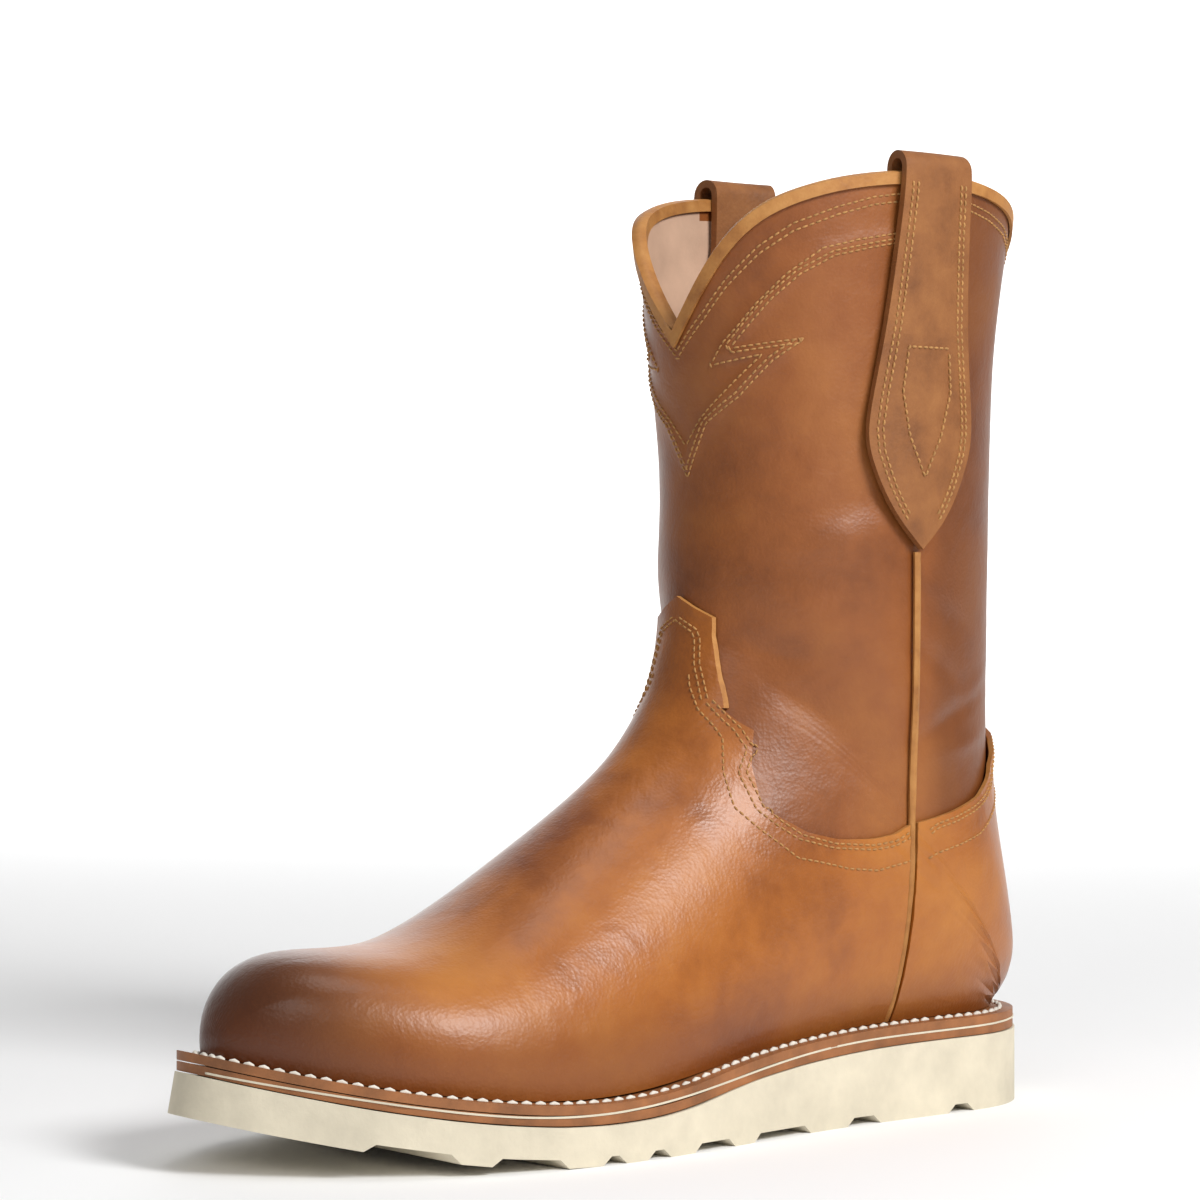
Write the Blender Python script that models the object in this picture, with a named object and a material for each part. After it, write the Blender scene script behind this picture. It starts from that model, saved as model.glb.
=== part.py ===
"""A pull-on work boot for the left foot, standing on its flat wedge sole.

Distances are in metres. Inside the shape functions a place on the boot is (x, s, z): x is
positive to the outer, little-toe side, s runs forward from the back of the outsole, and z is
height above the floor. The finished boot has its toe towards -Y and its outer side towards +X.
"""

import math

import bmesh
import bpy
import numpy as np

# Sole sizes
OUTSOLE_LENGTH = 0.312
BALL_WIDTH = 0.112
BALL_THICKNESS = 0.0118
HEEL_THICKNESS = 0.0239
TOE_SPRING = 0.0170
HEEL_ROUND = 0.040
TOE_ROUND = 0.080
TOE_LEAN = 0.0026
TREAD_DEPTH = 0.0026
TREAD_SLOPE = 0.0030
TREAD_CHEVRON = 0.009
MIDSOLE_THICKNESS = 0.0028
WELT_THICKNESS = 0.0028
WELT_MARGIN = 0.0084
MIDSOLE_SETBACK = 0.0006
INSOLE_THICKNESS = 0.0050

# Upper sizes
WALL = 0.0022
OVERLAY = 0.0015
CLEARANCE = 0.0003
OVERLAY_GAP = 0.0005
INSTEP_HEIGHT = 0.130
COLLAR_HEIGHT = 0.2998
COLLAR_DIP = 0.0494
COLLAR_BACK_DIP = 0.0300
SHAFT_DEPTH = 0.118
SHAFT_WIDTH = 0.094
SHAFT_CENTRE = 0.0705
TOE_CROWN_ROUND = 0.0322
CORNER_LEVEL = 0.722

# Trim sizes
SEAM_PLACE = 0.0730
SEAM_LEAN = 0.0042
PIPING_WIDTH = 0.0024
PIPING_HEIGHT = 0.0020
BINDING_THICKNESS = 0.0010
BINDING_DROP = 0.0034
STRAP_WIDTH = 0.0268
STRAP_PAD_WIDTH = 0.0420
STRAP_THICKNESS = 0.0026
STRAP_OUTER_LENGTH = 0.1258
STRAP_INNER_LENGTH = 0.0700
STRAP_STANDOFF = 0.0009

# Mesh divisions
RIDGE_TURNS = (0, 9, 18, 28, 39, 51, 64, 78)
BACK_COLUMNS = 8
WAIST_STATIONS = 12

# Outsole edge in plan: share of the length, then the half widths as shares of the ball width,
# before the round ends are taken off, and the sideways drift of the middle line.
SOLE_PLAN = [
    # along, outer, inner, drift
    (0.00, 0.352, 0.352, 0.000),
    (0.06, 0.354, 0.352, 0.000),
    (0.12, 0.357, 0.348, 0.000),
    (0.19, 0.368, 0.335, 0.000),
    (0.26, 0.378, 0.312, 0.000),
    (0.33, 0.395, 0.291, 0.000),
    (0.40, 0.425, 0.284, 0.000),
    (0.47, 0.462, 0.305, 0.000),
    (0.54, 0.498, 0.358, 0.000),
    (0.61, 0.520, 0.418, 0.000),
    (0.67, 0.525, 0.458, -0.002),
    (0.73, 0.512, 0.474, -0.005),
    (0.80, 0.480, 0.470, -0.010),
    (0.86, 0.452, 0.447, -0.015),
    (0.92, 0.402, 0.406, -0.022),
    (1.00, 0.338, 0.338, -0.035),
]

# How far the outsole has swelled from its ball thickness to its heel thickness.
WEDGE_SWELL = [
    # along, swell
    (0.00, 1.00),
    (0.12, 1.00),
    (0.25, 0.97),
    (0.33, 0.87),
    (0.41, 0.70),
    (0.48, 0.45),
    (0.54, 0.15),
    (0.60, 0.00),
    (0.70, 0.00),
    (0.85, 0.02),
    (1.00, 0.02),
]
SPRING_START = 0.665
SPRING_POWER = 1.65

# Recesses in the tread, as shares of the length at the sole's edge.
TREAD_RECESSES = [
    # start, end
    (0.133, 0.170),
    (0.268, 0.315),
    (0.369, 0.454),
    (0.482, 0.540),
    (0.572, 0.602),
    (0.628, 0.656),
    (0.694, 0.772),
    (0.800, 0.882),
]

# The forefoot and heel sections of the upper, from the toe tip back. bottom and top are where the
# section's plane meets the sole edge and the ridge; rise is the ridge height as a share of the
# instep height; outer and inner are half widths from the ridge as shares of the ball width.
FOOT_SECTIONS = [
    # bottom, top, rise, outer, inner, shift, fullness, lift
    (None, None, 0.513, 0.285, 0.308, 0.0000, 0.055, 0.000),
    (None, None, 0.501, 0.300, 0.320, 0.0000, 0.055, 0.000),
    (None, None, 0.481, 0.338, 0.352, 0.0000, 0.050, 0.000),
    (None, None, 0.458, 0.388, 0.383, -0.0004, 0.040, 0.000),
    (None, None, 0.479, 0.428, 0.394, -0.0010, 0.028, 0.000),
    (0.6795, 0.6779, 0.559, 0.453, 0.372, -0.0150, 0.015, 0.000),
    (0.5962, 0.6104, 0.667, 0.452, 0.323, -0.0235, 0.005, 0.000),
    (0.5064, 0.5529, 0.757, 0.433, 0.280, -0.0270, 0.000, 0.000),
    (0.4167, 0.5093, 0.832, 0.411, 0.266, -0.0265, 0.000, 0.000),
    (0.3333, 0.4787, 0.897, 0.395, 0.284, -0.0230, 0.000, 0.005),
    (0.2564, 0.4577, 0.957, 0.390, 0.316, -0.0180, 0.000, 0.010),
    (0.1859, 0.4429, 1.009, 0.392, 0.344, -0.0125, 0.000, 0.012),
    (None, 0.4335, 1.0445, 0.396, 0.365, -0.0070, 0.000, 0.005),
    (None, 0.4285, 1.0815, 0.400, 0.377, -0.0035, 0.000, -0.018),
    (None, 0.4245, 1.1185, 0.403, 0.388, -0.0010, 0.000, -0.045),
]

# The closed sections, from the heel's lower edge up. back and front are shares of the shaft's
# depth from its centre, low and high are the levels of those two ends (1 is the instep height,
# 2 the collar height), and outer and inner are shares of the shaft's half width.
SHAFT_SECTIONS = [
    # back, low, front, high, outer, inner, fullness, lift
    (-0.5150, 0.2330, 0.5150, 1.1573, 0.964, 0.943, 0.000, -0.062),
    (-0.5740, 0.2850, 0.5080, 1.2010, 0.972, 0.958, 0.000, -0.035),
    (-0.5750, 0.4100, 0.5020, 1.2480, 0.972, 0.973, 0.000, 0.012),
    (-0.5430, 0.5750, 0.4980, 1.3030, 0.988, 0.986, 0.000, 0.048),
    (-0.5080, 0.7460, 0.4880, 1.3620, 0.994, 0.994, 0.000, 0.048),
    (-0.4990, 0.9080, 0.4850, 1.4260, 1.000, 1.000, 0.004, 0.032),
    (-0.4930, 1.0580, 0.4880, 1.4970, 1.000, 1.000, 0.008, 0.018),
    (-0.4915, 1.1930, 0.5030, 1.5720, 1.000, 1.000, 0.012, 0.008),
    (-0.4940, 1.3330, 0.5190, 1.6480, 1.000, 1.000, 0.014, 0.002),
    (-0.5020, 1.4790, 0.5330, 1.7240, 1.009, 1.009, 0.014, 0.000),
    (-0.5080, 1.6250, 0.5520, 1.8000, 1.021, 1.021, 0.014, 0.000),
    (-0.5290, 1.7710, 0.5710, 1.8820, 1.043, 1.043, 0.014, 0.000),
    (-0.5670, 1.9170, 0.5856, 1.9750, 1.064, 1.064, 0.014, 0.000),
    (-0.5880, 2.0700, 0.5915, 2.0700, 1.074, 1.074, 0.014, 0.000),
]

# The scalloped collar, from the V at the front or back centre round to the side.
COLLAR_SCALLOP = [
    # turn in degrees, share of the dip
    (0, 0.000),
    (6, 0.120),
    (12, 0.240),
    (20, 0.434),
    (30, 0.636),
    (40, 0.778),
    (54, 0.889),
    (67, 0.960),
    (78, 0.990),
    (90, 1.000),
]

# The vamp's upper edge seen from the side, from the side seam forward to the ridge.
VAMP_EDGE = [
    # s as a share of the outsole length, height as a share of the instep height
    (0.233, 0.722),
    (0.256, 0.702),
    (0.281, 0.692),
    (0.324, 0.693),
    (0.359, 0.713),
    (0.386, 0.748),
    (0.399, 0.765),
    (0.4049, 0.785),
    (0.4066, 0.870),
    (0.3974, 0.957),
    (0.4103, 0.981),
    (0.4196, 1.014),
    (0.4240, 1.060),
    (0.4400, 1.100),
]

# The vamp's tongue seen from the front, from its foot up to its point.
TONGUE_EDGE = [
    # half width as a share of the ball width, height as a share of the instep height
    (0.190, 1.010),
    (0.170, 1.060),
    (0.146, 1.120),
    (0.129, 1.184),
    (0.126, 1.228),
    (0.000, 1.280),
]

# The counter's upper edge seen from the side, from the side seam back to its point.
COUNTER_EDGE = [
    # s as a share of the outsole length, height as a share of the instep height
    (0.237, 0.727),
    (0.201, 0.740),
    (0.170, 0.758),
    (0.136, 0.781),
    (0.108, 0.815),
    (0.087, 0.859),
    (0.064, 0.900),
    (0.038, 0.953),
    (0.000, 0.975),
]

# The strap's outline from the top of its loop down its outer leg.
STRAP_OUTLINE = [
    # share of the outer length, half width as a share from plain (1) to pad (2)
    (0.000, 1.00),
    (0.110, 1.04),
    (0.210, 1.12),
    (0.440, 1.40),
    (0.620, 1.86),
    (0.700, 2.00),
    (0.755, 1.88),
    (0.800, 1.59),
    (0.842, 1.29),
    (0.892, 0.82),
    (0.936, 0.28),
    (0.970, -0.26),
    (1.000, -0.763),
]

LEATHER = ((0.50, 0.22, 0.065), 0.42)
LEATHER_EDGE = ((0.62, 0.33, 0.12), 0.60)
LINING = ((0.72, 0.52, 0.38), 0.80)
WELT_LEATHER = ((0.42, 0.16, 0.055), 0.60)
CREPE = ((0.78, 0.72, 0.58), 0.75)
FOOTBED = ((0.60, 0.40, 0.24), 0.75)


def spline(knots, values):
    """Return the natural cubic spline through the points, as a function of an array."""
    x, y = np.asarray(knots, float), np.asarray(values, float)
    gap = np.diff(x)
    count = len(x)
    matrix, right = np.eye(count), np.zeros(count)
    for i in range(1, count - 1):
        matrix[i, i - 1 : i + 2] = gap[i - 1], 2 * (gap[i - 1] + gap[i]), gap[i]
        right[i] = 6 * ((y[i + 1] - y[i]) / gap[i] - (y[i] - y[i - 1]) / gap[i - 1])
    bend = np.linalg.solve(matrix, right)

    def curve(at):
        at = np.asarray(at, float)
        i = np.clip(np.searchsorted(x, at) - 1, 0, count - 2)
        a, b = (x[i + 1] - at) / gap[i], (at - x[i]) / gap[i]
        arch = (a**3 - a) * bend[i] + (b**3 - b) * bend[i + 1]
        return a * y[i] + b * y[i + 1] + arch * gap[i] ** 2 / 6

    return curve


def column(table, index):
    """Return one column of a table as an array."""
    return np.array([row[index] for row in table], float)


def table_spline(table, index, scale=1.0):
    """Return the spline of one column over the first column, both scaled from shares."""
    return spline(column(table, 0) * OUTSOLE_LENGTH, column(table, index) * scale)


plan_outer = table_spline(SOLE_PLAN, 1, BALL_WIDTH)
plan_inner = table_spline(SOLE_PLAN, 2, BALL_WIDTH)
plan_drift = table_spline(SOLE_PLAN, 3, BALL_WIDTH)
wedge_swell = table_spline(WEDGE_SWELL, 1)


def end_cap(s, inset):
    """Return the factor that rounds off the heel and the toe of a plan outline at s."""
    s = np.asarray(s, float)
    heel = np.clip((HEEL_ROUND - s) / (HEEL_ROUND - inset), 0, 1)
    toe = np.clip((s - OUTSOLE_LENGTH + TOE_ROUND) / (TOE_ROUND - inset), 0, 1)
    return np.sqrt(1 - np.maximum(heel, toe) ** 2)


def plan_edge(s, inset):
    """Return (outer x, inner x) of the sole outline drawn in by inset, at s."""
    cap = end_cap(s, inset)
    middle = plan_drift(s)
    return middle + (plan_outer(s) - inset) * cap, middle - (plan_inner(s) - inset) * cap


def floor_line(s):
    """Return the height of the tread's plain underside at s: flat, then the toe spring."""
    share = (np.asarray(s, float) / OUTSOLE_LENGTH - SPRING_START) / (1 - SPRING_START)
    return TOE_SPRING * np.clip(share, 0, 1) ** SPRING_POWER


def outsole_top(s):
    """Return the height of the outsole's upper face at s."""
    swell = wedge_swell(s)
    return floor_line(s) + BALL_THICKNESS + (HEEL_THICKNESS - BALL_THICKNESS) * swell


def midsole_bottom(s):
    """Return the height of the midsole's lower face at s."""
    return outsole_top(s) + CLEARANCE


def welt_bottom(s):
    """Return the height of the welt's lower face at s."""
    return midsole_bottom(s) + MIDSOLE_THICKNESS + CLEARANCE


def welt_top(s):
    """Return the height of the welt's upper face at s."""
    return welt_bottom(s) + WELT_THICKNESS


def feather_height(s):
    """Return the height of the upper's lower edge at s, just clear of the welt."""
    return welt_top(s) + CLEARANCE


FEATHER_INSET = WELT_MARGIN + OVERLAY + OVERLAY_GAP
FEATHER_EASE = 0.008
TIP_S = OUTSOLE_LENGTH - FEATHER_INSET
CAP_ROWS = 4
SEAT_ROW = 12
HEEL_ROW = 15
LAST_ROW = HEEL_ROW + len(SHAFT_SECTIONS) - 1


def level_height(level):
    """Return the height of a level: 0 is the floor, 1 the instep height, 2 the collar height."""
    level = np.asarray(level, float)
    foot = INSTEP_HEIGHT * level
    shaft = INSTEP_HEIGHT + (COLLAR_HEIGHT - INSTEP_HEIGHT) * (level - 1)
    return np.where(level < 1, foot, shaft)


def toe_station(row):
    """Return s of the toe rows, which crowd together towards the tip."""
    reach = TIP_S - (OUTSOLE_LENGTH - TOE_ROUND)
    return TIP_S - reach * (1 - np.cos(np.asarray(row, float) / CAP_ROWS * math.pi / 2))


def seat_station(row):
    """Return s of the rows round the heel seat, which crowd together towards the heel end."""
    turn = (np.asarray(row, float) - SEAT_ROW) / (HEEL_ROW - SEAT_ROW) * math.pi / 2
    return HEEL_ROUND - (HEEL_ROUND - FEATHER_INSET) * np.sin(turn)


def foot_stations(index, filler):
    """Return a foot column in metres, with its empty places worked out by filler."""
    return [
        filler(i) if row[index] is None else row[index] * OUTSOLE_LENGTH
        for i, row in enumerate(FOOT_SECTIONS)
    ]


def known_station(row):
    """Return the place of a foot row that the table leaves to the round toe or heel."""
    return float(toe_station(row) if row <= CAP_ROWS else seat_station(row))


def foot_then_shaft(foot_index, shaft_index, foot_scale, shaft_scale):
    """Return the spline over all rows of one measure that both tables hold."""
    values = [row[foot_index] * foot_scale for row in FOOT_SECTIONS]
    values += [row[shaft_index] * shaft_scale for row in SHAFT_SECTIONS]
    return spline(range(len(values)), values)


FOOT_BOTTOMS = foot_stations(0, known_station)
FOOT_TOPS = foot_stations(1, known_station)
SHAFT_BACKS = SHAFT_CENTRE + column(SHAFT_SECTIONS, 0) * SHAFT_DEPTH
SHAFT_FRONTS = SHAFT_CENTRE + column(SHAFT_SECTIONS, 2) * SHAFT_DEPTH
HEEL_END = (FEATHER_INSET, float(feather_height(FEATHER_INSET)))

bottom_s = spline(range(SEAT_ROW + 1), FOOT_BOTTOMS[: SEAT_ROW + 1])
back_s = spline(range(HEEL_ROW, LAST_ROW + 1), [HEEL_END[0], *SHAFT_BACKS[1:]])
back_z = spline(
    range(HEEL_ROW, LAST_ROW + 1), [HEEL_END[1], *level_height(column(SHAFT_SECTIONS, 1))[1:]]
)
ridge_s = spline(range(LAST_ROW + 1), [*FOOT_TOPS, *SHAFT_FRONTS])
ridge_z = spline(
    range(LAST_ROW + 1),
    [*level_height(column(FOOT_SECTIONS, 2)), *level_height(column(SHAFT_SECTIONS, 3))],
)
half_outer = foot_then_shaft(3, 4, BALL_WIDTH, SHAFT_WIDTH / 2)
half_inner = foot_then_shaft(4, 5, BALL_WIDTH, SHAFT_WIDTH / 2)
fullness_of = foot_then_shaft(6, 6, 1, 1)
lift_of = foot_then_shaft(7, 7, 1, 1)
ridge_shift = spline(
    range(LAST_ROW + 1),
    [*column(FOOT_SECTIONS, 5) * BALL_WIDTH, *np.zeros(len(SHAFT_SECTIONS))],
)


def row_ends(row):
    """Return (bottom s, bottom z, top s, top z, toe cap) of the section plane at a row."""
    row = np.asarray(row, float)
    open_s = np.where(
        row < CAP_ROWS,
        toe_station(np.clip(row, 0, CAP_ROWS)),
        np.where(
            row < SEAT_ROW,
            bottom_s(np.clip(row, CAP_ROWS, SEAT_ROW)),
            seat_station(np.clip(row, SEAT_ROW, HEEL_ROW)),
        ),
    )
    closed = row >= HEEL_ROW
    high = np.clip(row, HEEL_ROW, LAST_ROW)
    low_s = np.where(closed, back_s(high), open_s)
    low_z = np.where(closed, back_z(high), feather_height(open_s))
    top_s = np.where(row < CAP_ROWS, open_s, ridge_s(row))
    crown = np.clip((top_s - TIP_S + TOE_CROWN_ROUND) / TOE_CROWN_ROUND, 0, 1)
    base = feather_height(np.clip(top_s, 0, OUTSOLE_LENGTH))
    in_toe = row < CAP_ROWS
    top_z = np.where(in_toe, base + (ridge_z(row) - base) * np.sqrt(1 - crown**2), ridge_z(row))
    return low_s, low_z, top_s, top_z, np.where(in_toe, end_cap(open_s, FEATHER_INSET), 1.0)


def arch(phi, full):
    """Return the section's half width at the angle phi, as a share of its widest."""
    return (np.sin(phi) + full * np.sin(3 * phi)) / (1 - full)


def start_angle(share, full):
    """Return the angle at which a section's half width is the given share of its widest."""
    share = np.clip(share, 0.0, 1.0)
    low, high = np.zeros_like(share), np.full_like(share, math.pi / 2)
    for _ in range(40):
        middle = (low + high) / 2
        under = arch(middle, full) < share
        low, high = np.where(under, middle, low), np.where(under, high, middle)
    return (low + high) / 2


def base_point(row, t):
    """Return (x, s, z) on the upper's plain outer surface.

    row counts the sections from the toe tip, 0, to the collar, LAST_ROW. t runs from -1 at the
    inner sole edge, or the back centre, over the ridge at 0 to +1 on the outer side.
    """
    row, t = np.broadcast_arrays(np.asarray(row, float), np.asarray(t, float))
    low_s, low_z, top_s, top_z, cap = row_ends(row)
    outer_side = t >= 0
    full, lift = fullness_of(row), lift_of(row)
    side = np.where(outer_side, 1.0, -1.0)
    half = np.where(outer_side, half_outer(row), half_inner(row)) * cap
    shift = ridge_shift(row)
    middle = np.where(row < HEEL_ROW, plan_drift(np.clip(low_s, 0, OUTSOLE_LENGTH)), 0.0) + shift
    edge_outer, edge_inner = plan_edge(low_s, FEATHER_INSET)
    edge = np.where(outer_side, edge_outer - middle, middle - edge_inner)
    edge = np.where(row < HEEL_ROW, edge, 0.0)
    share = np.where(half > 1e-9, edge / np.maximum(half, 1e-9), 0.95)
    start = np.where(row < HEEL_ROW, start_angle(share, full), 0.0)
    phi = start + (math.pi - start) * (1 - np.abs(t))

    def climb(angle):
        return 0.5 * (1 - np.cos(angle)) + lift * np.sin(angle) ** 2

    along = (climb(phi) - climb(start)) / (1 - climb(start))
    x = middle + side * half * arch(phi, full)
    return np.stack([x, low_s + (top_s - low_s) * along, low_z + (top_z - low_z) * along], -1)


def upper_point(row, t, out=0.0):
    """Return (x, s, z) at a distance out from the upper's plain outer surface."""
    row, t = np.broadcast_arrays(np.asarray(row, float), np.asarray(t, float))
    step = 1e-4
    safe = np.clip(row, 0.02, LAST_ROW - step)
    t_low, t_high = np.clip(t - step, -1, 1), np.clip(t + step, -1, 1)
    along_row = base_point(safe, t_high) - base_point(safe, t_low)
    along_column = base_point(safe + step, t) - base_point(safe - step, t)
    normal = np.cross(along_column, along_row)
    normal /= np.maximum(np.linalg.norm(normal, axis=-1, keepdims=True), 1e-12)
    at_tip = (row < 1e-6)[..., None]
    normal = np.where(at_tip, np.array([0.0, 1.0, 0.0]), normal)
    base = base_point(row, t)
    clear = base[..., 2] - feather_height(np.clip(base[..., 1], 0, OUTSOLE_LENGTH))
    normal[..., 2] *= np.clip(clear / FEATHER_EASE, 0, 1)
    normal /= np.maximum(np.linalg.norm(normal, axis=-1, keepdims=True), 1e-12)
    moved = base + normal * np.asarray(out)[..., None]
    at_feather = ((np.abs(t) > 1 - 1e-9) & (row < HEEL_ROW + 1e-9)) | at_tip[..., 0]
    feather = feather_height(np.clip(moved[..., 1], 0, OUTSOLE_LENGTH))
    moved[..., 2] = np.where(at_feather, feather, moved[..., 2])
    return moved


def row_at_height(t, height, first=HEEL_ROW - 8.0):
    """Return the row at which the column t reaches a height."""
    t, height = np.broadcast_arrays(np.asarray(t, float), np.asarray(height, float))
    low, high = np.full(t.shape, float(first)), np.full(t.shape, float(LAST_ROW))
    for _ in range(40):
        middle = (low + high) / 2
        under = base_point(middle, t)[..., 2] < height
        low, high = np.where(under, middle, low), np.where(under, high, middle)
    return (low + high) / 2


def row_at_place(t, place):
    """Return the row at which the column t passes back over s = place."""
    t = np.asarray(t, float)
    low, high = np.full(t.shape, float(CAP_ROWS)), np.full(t.shape, float(HEEL_ROW + 8))
    for _ in range(40):
        middle = (low + high) / 2
        ahead = base_point(middle, t)[..., 1] > place
        low, high = np.where(ahead, middle, low), np.where(ahead, high, middle)
    return (low + high) / 2


def locate(s, z, side):
    """Return (row, t) of the places with the given s and z on one side of the upper."""
    s, z = np.broadcast_arrays(np.asarray(s, float), np.asarray(z, float))
    row, t = np.full(s.shape, HEEL_ROW + 4.0), np.full(s.shape, 0.5 * side)
    step = 1e-4
    for _ in range(40):
        here = base_point(row, t)
        by_row = (base_point(row + step, t) - here) / step
        by_t = (base_point(row, t + step) - here) / step
        miss_s, miss_z = s - here[..., 1], z - here[..., 2]
        cross = by_row[..., 1] * by_t[..., 2] - by_row[..., 2] * by_t[..., 1]
        cross = np.where(np.abs(cross) < 1e-9, 1e-9, cross)
        move_row = (miss_s * by_t[..., 2] - miss_z * by_t[..., 1]) / cross
        move_t = (by_row[..., 1] * miss_z - by_row[..., 2] * miss_s) / cross
        row = np.clip(row + np.clip(move_row, -1.5, 1.5), CAP_ROWS, LAST_ROW - 2 * step)
        t = side * np.clip((t + np.clip(move_t, -0.08, 0.08)) * side, 0.05, 1 - 2 * step)
    return row, t


def collar_height(t):
    """Return the height of the scalloped collar at the column t."""
    turn = np.abs(np.asarray(t, float)) * 180
    dip = np.where(turn > 90, COLLAR_BACK_DIP, COLLAR_DIP)
    turn = np.where(turn > 90, 180 - turn, turn)
    share = np.interp(turn, column(COLLAR_SCALLOP, 0), column(COLLAR_SCALLOP, 1))
    return COLLAR_HEIGHT - dip * (1 - share)


def collar_row(t, beyond=0.0):
    """Return the row at a distance beyond the collar's edge, measured square to that edge."""
    t = np.asarray(t, float)
    near, far = np.clip(np.abs(t), 0.005, 0.995) - 0.005, np.clip(np.abs(t), 0.005, 0.995) + 0.005
    start = base_point(row_at_height(near, collar_height(near)), near)
    end = base_point(row_at_height(far, collar_height(far)), far)
    run = np.hypot(end[..., 0] - start[..., 0], end[..., 1] - start[..., 1])
    rise = end[..., 2] - start[..., 2]
    return row_at_height(t, collar_height(t) + beyond * np.hypot(run, rise) / run)


def seam_place(z):
    """Return s of the side seam, and of the straps' middle, at a height."""
    lean_from = INSTEP_HEIGHT + STRAP_PAD_WIDTH
    share = (np.asarray(z, float) - lean_from) / (COLLAR_HEIGHT - lean_from)
    return SEAM_PLACE - SEAM_LEAN * np.clip(share, 0, 1)


def side_columns(side):
    """Return the columns of one side from the ridge to the back, one through the seam's corner."""
    corner = abs(float(locate(SEAM_PLACE, level_height(CORNER_LEVEL), side)[1]))
    ahead = [turn / 180 for turn in RIDGE_TURNS]
    behind = corner + (1 - corner) * np.linspace(0, 1, BACK_COLUMNS + 1)
    return side * np.array([*ahead, *behind])


STRAP_MIDDLE = STRAP_THICKNESS / 2
OUTER_STANDOFF = BINDING_THICKNESS + 3 * CLEARANCE
LOOP_REACH = (2 * (OUTER_STANDOFF + STRAP_MIDDLE) + WALL) / 2
STRAP_RISE = LOOP_REACH + STRAP_MIDDLE + CLEARANCE * 2
STRAP_TOP = COLLAR_HEIGHT + BINDING_THICKNESS + STRAP_RISE
SPRING_LINE = STRAP_TOP - STRAP_MIDDLE - LOOP_REACH


def strap_half_width(drop):
    """Return the strap's half width at a drop below the top of its loop."""
    share = np.interp(
        np.asarray(drop, float) / STRAP_OUTER_LENGTH,
        column(STRAP_OUTLINE, 0),
        column(STRAP_OUTLINE, 1),
    )
    return STRAP_WIDTH / 2 + (share - 1) * (STRAP_PAD_WIDTH - STRAP_WIDTH) / 2


def strap_leg(side, heights, across, out, narrow):
    """Return points of one strap leg, at the shares across its width and a distance out."""
    outline = strap_half_width(STRAP_TOP - heights)
    half = np.full(heights.shape, STRAP_WIDTH / 2) if narrow else outline
    s = seam_place(heights)[:, None] + half[:, None] * across[None, :]
    row, t = locate(s, np.repeat(heights[:, None], len(across), 1), side)
    return upper_point(row, t, np.repeat(np.asarray(out)[:, None], len(across), 1))


def middle_of_width():
    """Return x halfway between the boot's outermost and innermost points, sole or strap."""
    stations = np.linspace(0, OUTSOLE_LENGTH, 800)
    outer, inner = plan_edge(stations, 0.0)
    reach = [OUTER_STANDOFF + STRAP_THICKNESS]
    loops = [
        strap_leg(side, np.array([SPRING_LINE]), np.linspace(-1, 1, 5), reach, True)[..., 0]
        for side in (1, -1)
    ]
    return (max(outer.max(), loops[0].max()) + min(inner.min(), loops[1].min())) / 2


MIDDLE_X = float(middle_of_width())
COLUMNS = np.concatenate([side_columns(-1)[:0:-1], side_columns(1)])


def placed(point):
    """Return a shape point (x, s, z) in the boot's own frame, toe towards -Y.

    The toe leans back by TOE_LEAN between the tread and the outsole's upper face, so the edge of
    the sole slopes there, and all that stands on it moves along.
    """
    x, s, z = (float(value) for value in point)
    ahead = min(max((s - OUTSOLE_LENGTH + TOE_ROUND) / TOE_ROUND, 0.0), 1.0)
    base, top = float(floor_line(s)), float(outsole_top(s))
    rise = min(max((z - base) / (top - base), 0.0), 1.0)
    s -= TOE_LEAN * ahead**2 * rise
    return x - MIDDLE_X, OUTSOLE_LENGTH / 2 - s, z


def make_material(name, finish):
    """Return a plain material of one colour and roughness."""
    colour, roughness = finish
    material = bpy.data.materials.new(name)
    material.use_nodes = True
    shader = material.node_tree.nodes["Principled BSDF"]
    shader.inputs["Base Color"].default_value = (*colour, 1.0)
    shader.inputs["Roughness"].default_value = roughness
    shader.inputs["Metallic"].default_value = 0.0
    material.diffuse_color = (*colour, 1.0)
    return material


class Shell:
    """Collects the points and faces of one piece, then makes its object."""

    def __init__(self):
        self.points, self.faces = [], []

    def add(self, point):
        """Add a shape point and return its number."""
        self.points.append(placed(point))
        return len(self.points) - 1

    def grid(self, lines):
        """Add a grid of shape points and return the grid of their numbers."""
        return [[self.add(point) for point in line] for line in lines]

    def skin(self, grid):
        """Join the neighbours in a grid of numbers with faces."""
        for line, after in zip(grid, grid[1:]):
            for i in range(len(line) - 1):
                self.faces.append((line[i], line[i + 1], after[i + 1], after[i]))

    def box(self, outside, inside):
        """Close the space between two grids of the same shape with faces all round."""
        self.skin(outside)
        self.skin(inside)
        self.skin([outside[0], inside[0]])
        self.skin([outside[-1], inside[-1]])
        for edge in (0, -1):
            self.skin([[line[edge] for line in outside], [line[edge] for line in inside]])

    def finish(self, name, finish):
        """Make the object: points that meet are merged and the faces are turned outwards."""
        mesh = bpy.data.meshes.new(name)
        mesh.from_pydata(self.points, [], self.faces)
        work = bmesh.new()
        work.from_mesh(mesh)
        bmesh.ops.remove_doubles(work, verts=work.verts, dist=CLEARANCE / 10)
        bmesh.ops.dissolve_degenerate(work, dist=CLEARANCE / 30, edges=work.edges)
        drop_inner_faces(work)
        bmesh.ops.triangulate(work, faces=work.faces, quad_method="FIXED")
        bmesh.ops.recalc_face_normals(work, faces=work.faces)
        work.to_mesh(mesh)
        work.free()
        mesh.shade_smooth()
        mesh.set_sharp_from_angle(angle=math.radians(35))
        mesh.materials.append(make_material(name, finish))
        piece = bpy.data.objects.new(name, mesh)
        bpy.context.scene.collection.objects.link(piece)
        return piece


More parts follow.
